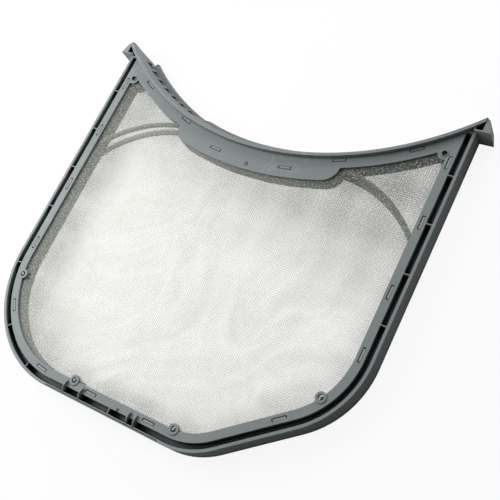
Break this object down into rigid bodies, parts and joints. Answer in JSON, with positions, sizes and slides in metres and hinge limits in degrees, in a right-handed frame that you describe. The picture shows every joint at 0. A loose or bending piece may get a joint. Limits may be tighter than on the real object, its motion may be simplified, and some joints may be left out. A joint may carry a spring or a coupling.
{
  "type": "tumble dryer lint filter",
  "caption": "Flat lint filter for a tumble dryer: a moulded grey frame with a concave handle flange, a channelled rim with ribs, and fine mesh screens in front and behind.",
  "frame": {"origin": "centre of the footprint on the plane of the back edges, on which the filter lies flat", "axes": "+X along the width to the right as seen from the front, +Y from the bottom edge up to the handle flange, +Z out of the front face"},
  "size_m": [0.4376, 0.3848, 0.025],
  "materials": {
    "frame_plastic": "satin grey moulded plastic",
    "screen_mesh": "fine off-white woven mesh, see-through"
  },
  "bodies": {
    "root": {"front_frame": "frame_plastic", "rear_frame": "frame_plastic", "front_screen": "screen_mesh", "rear_screen": "screen_mesh"}
  },
  "joints": []
}
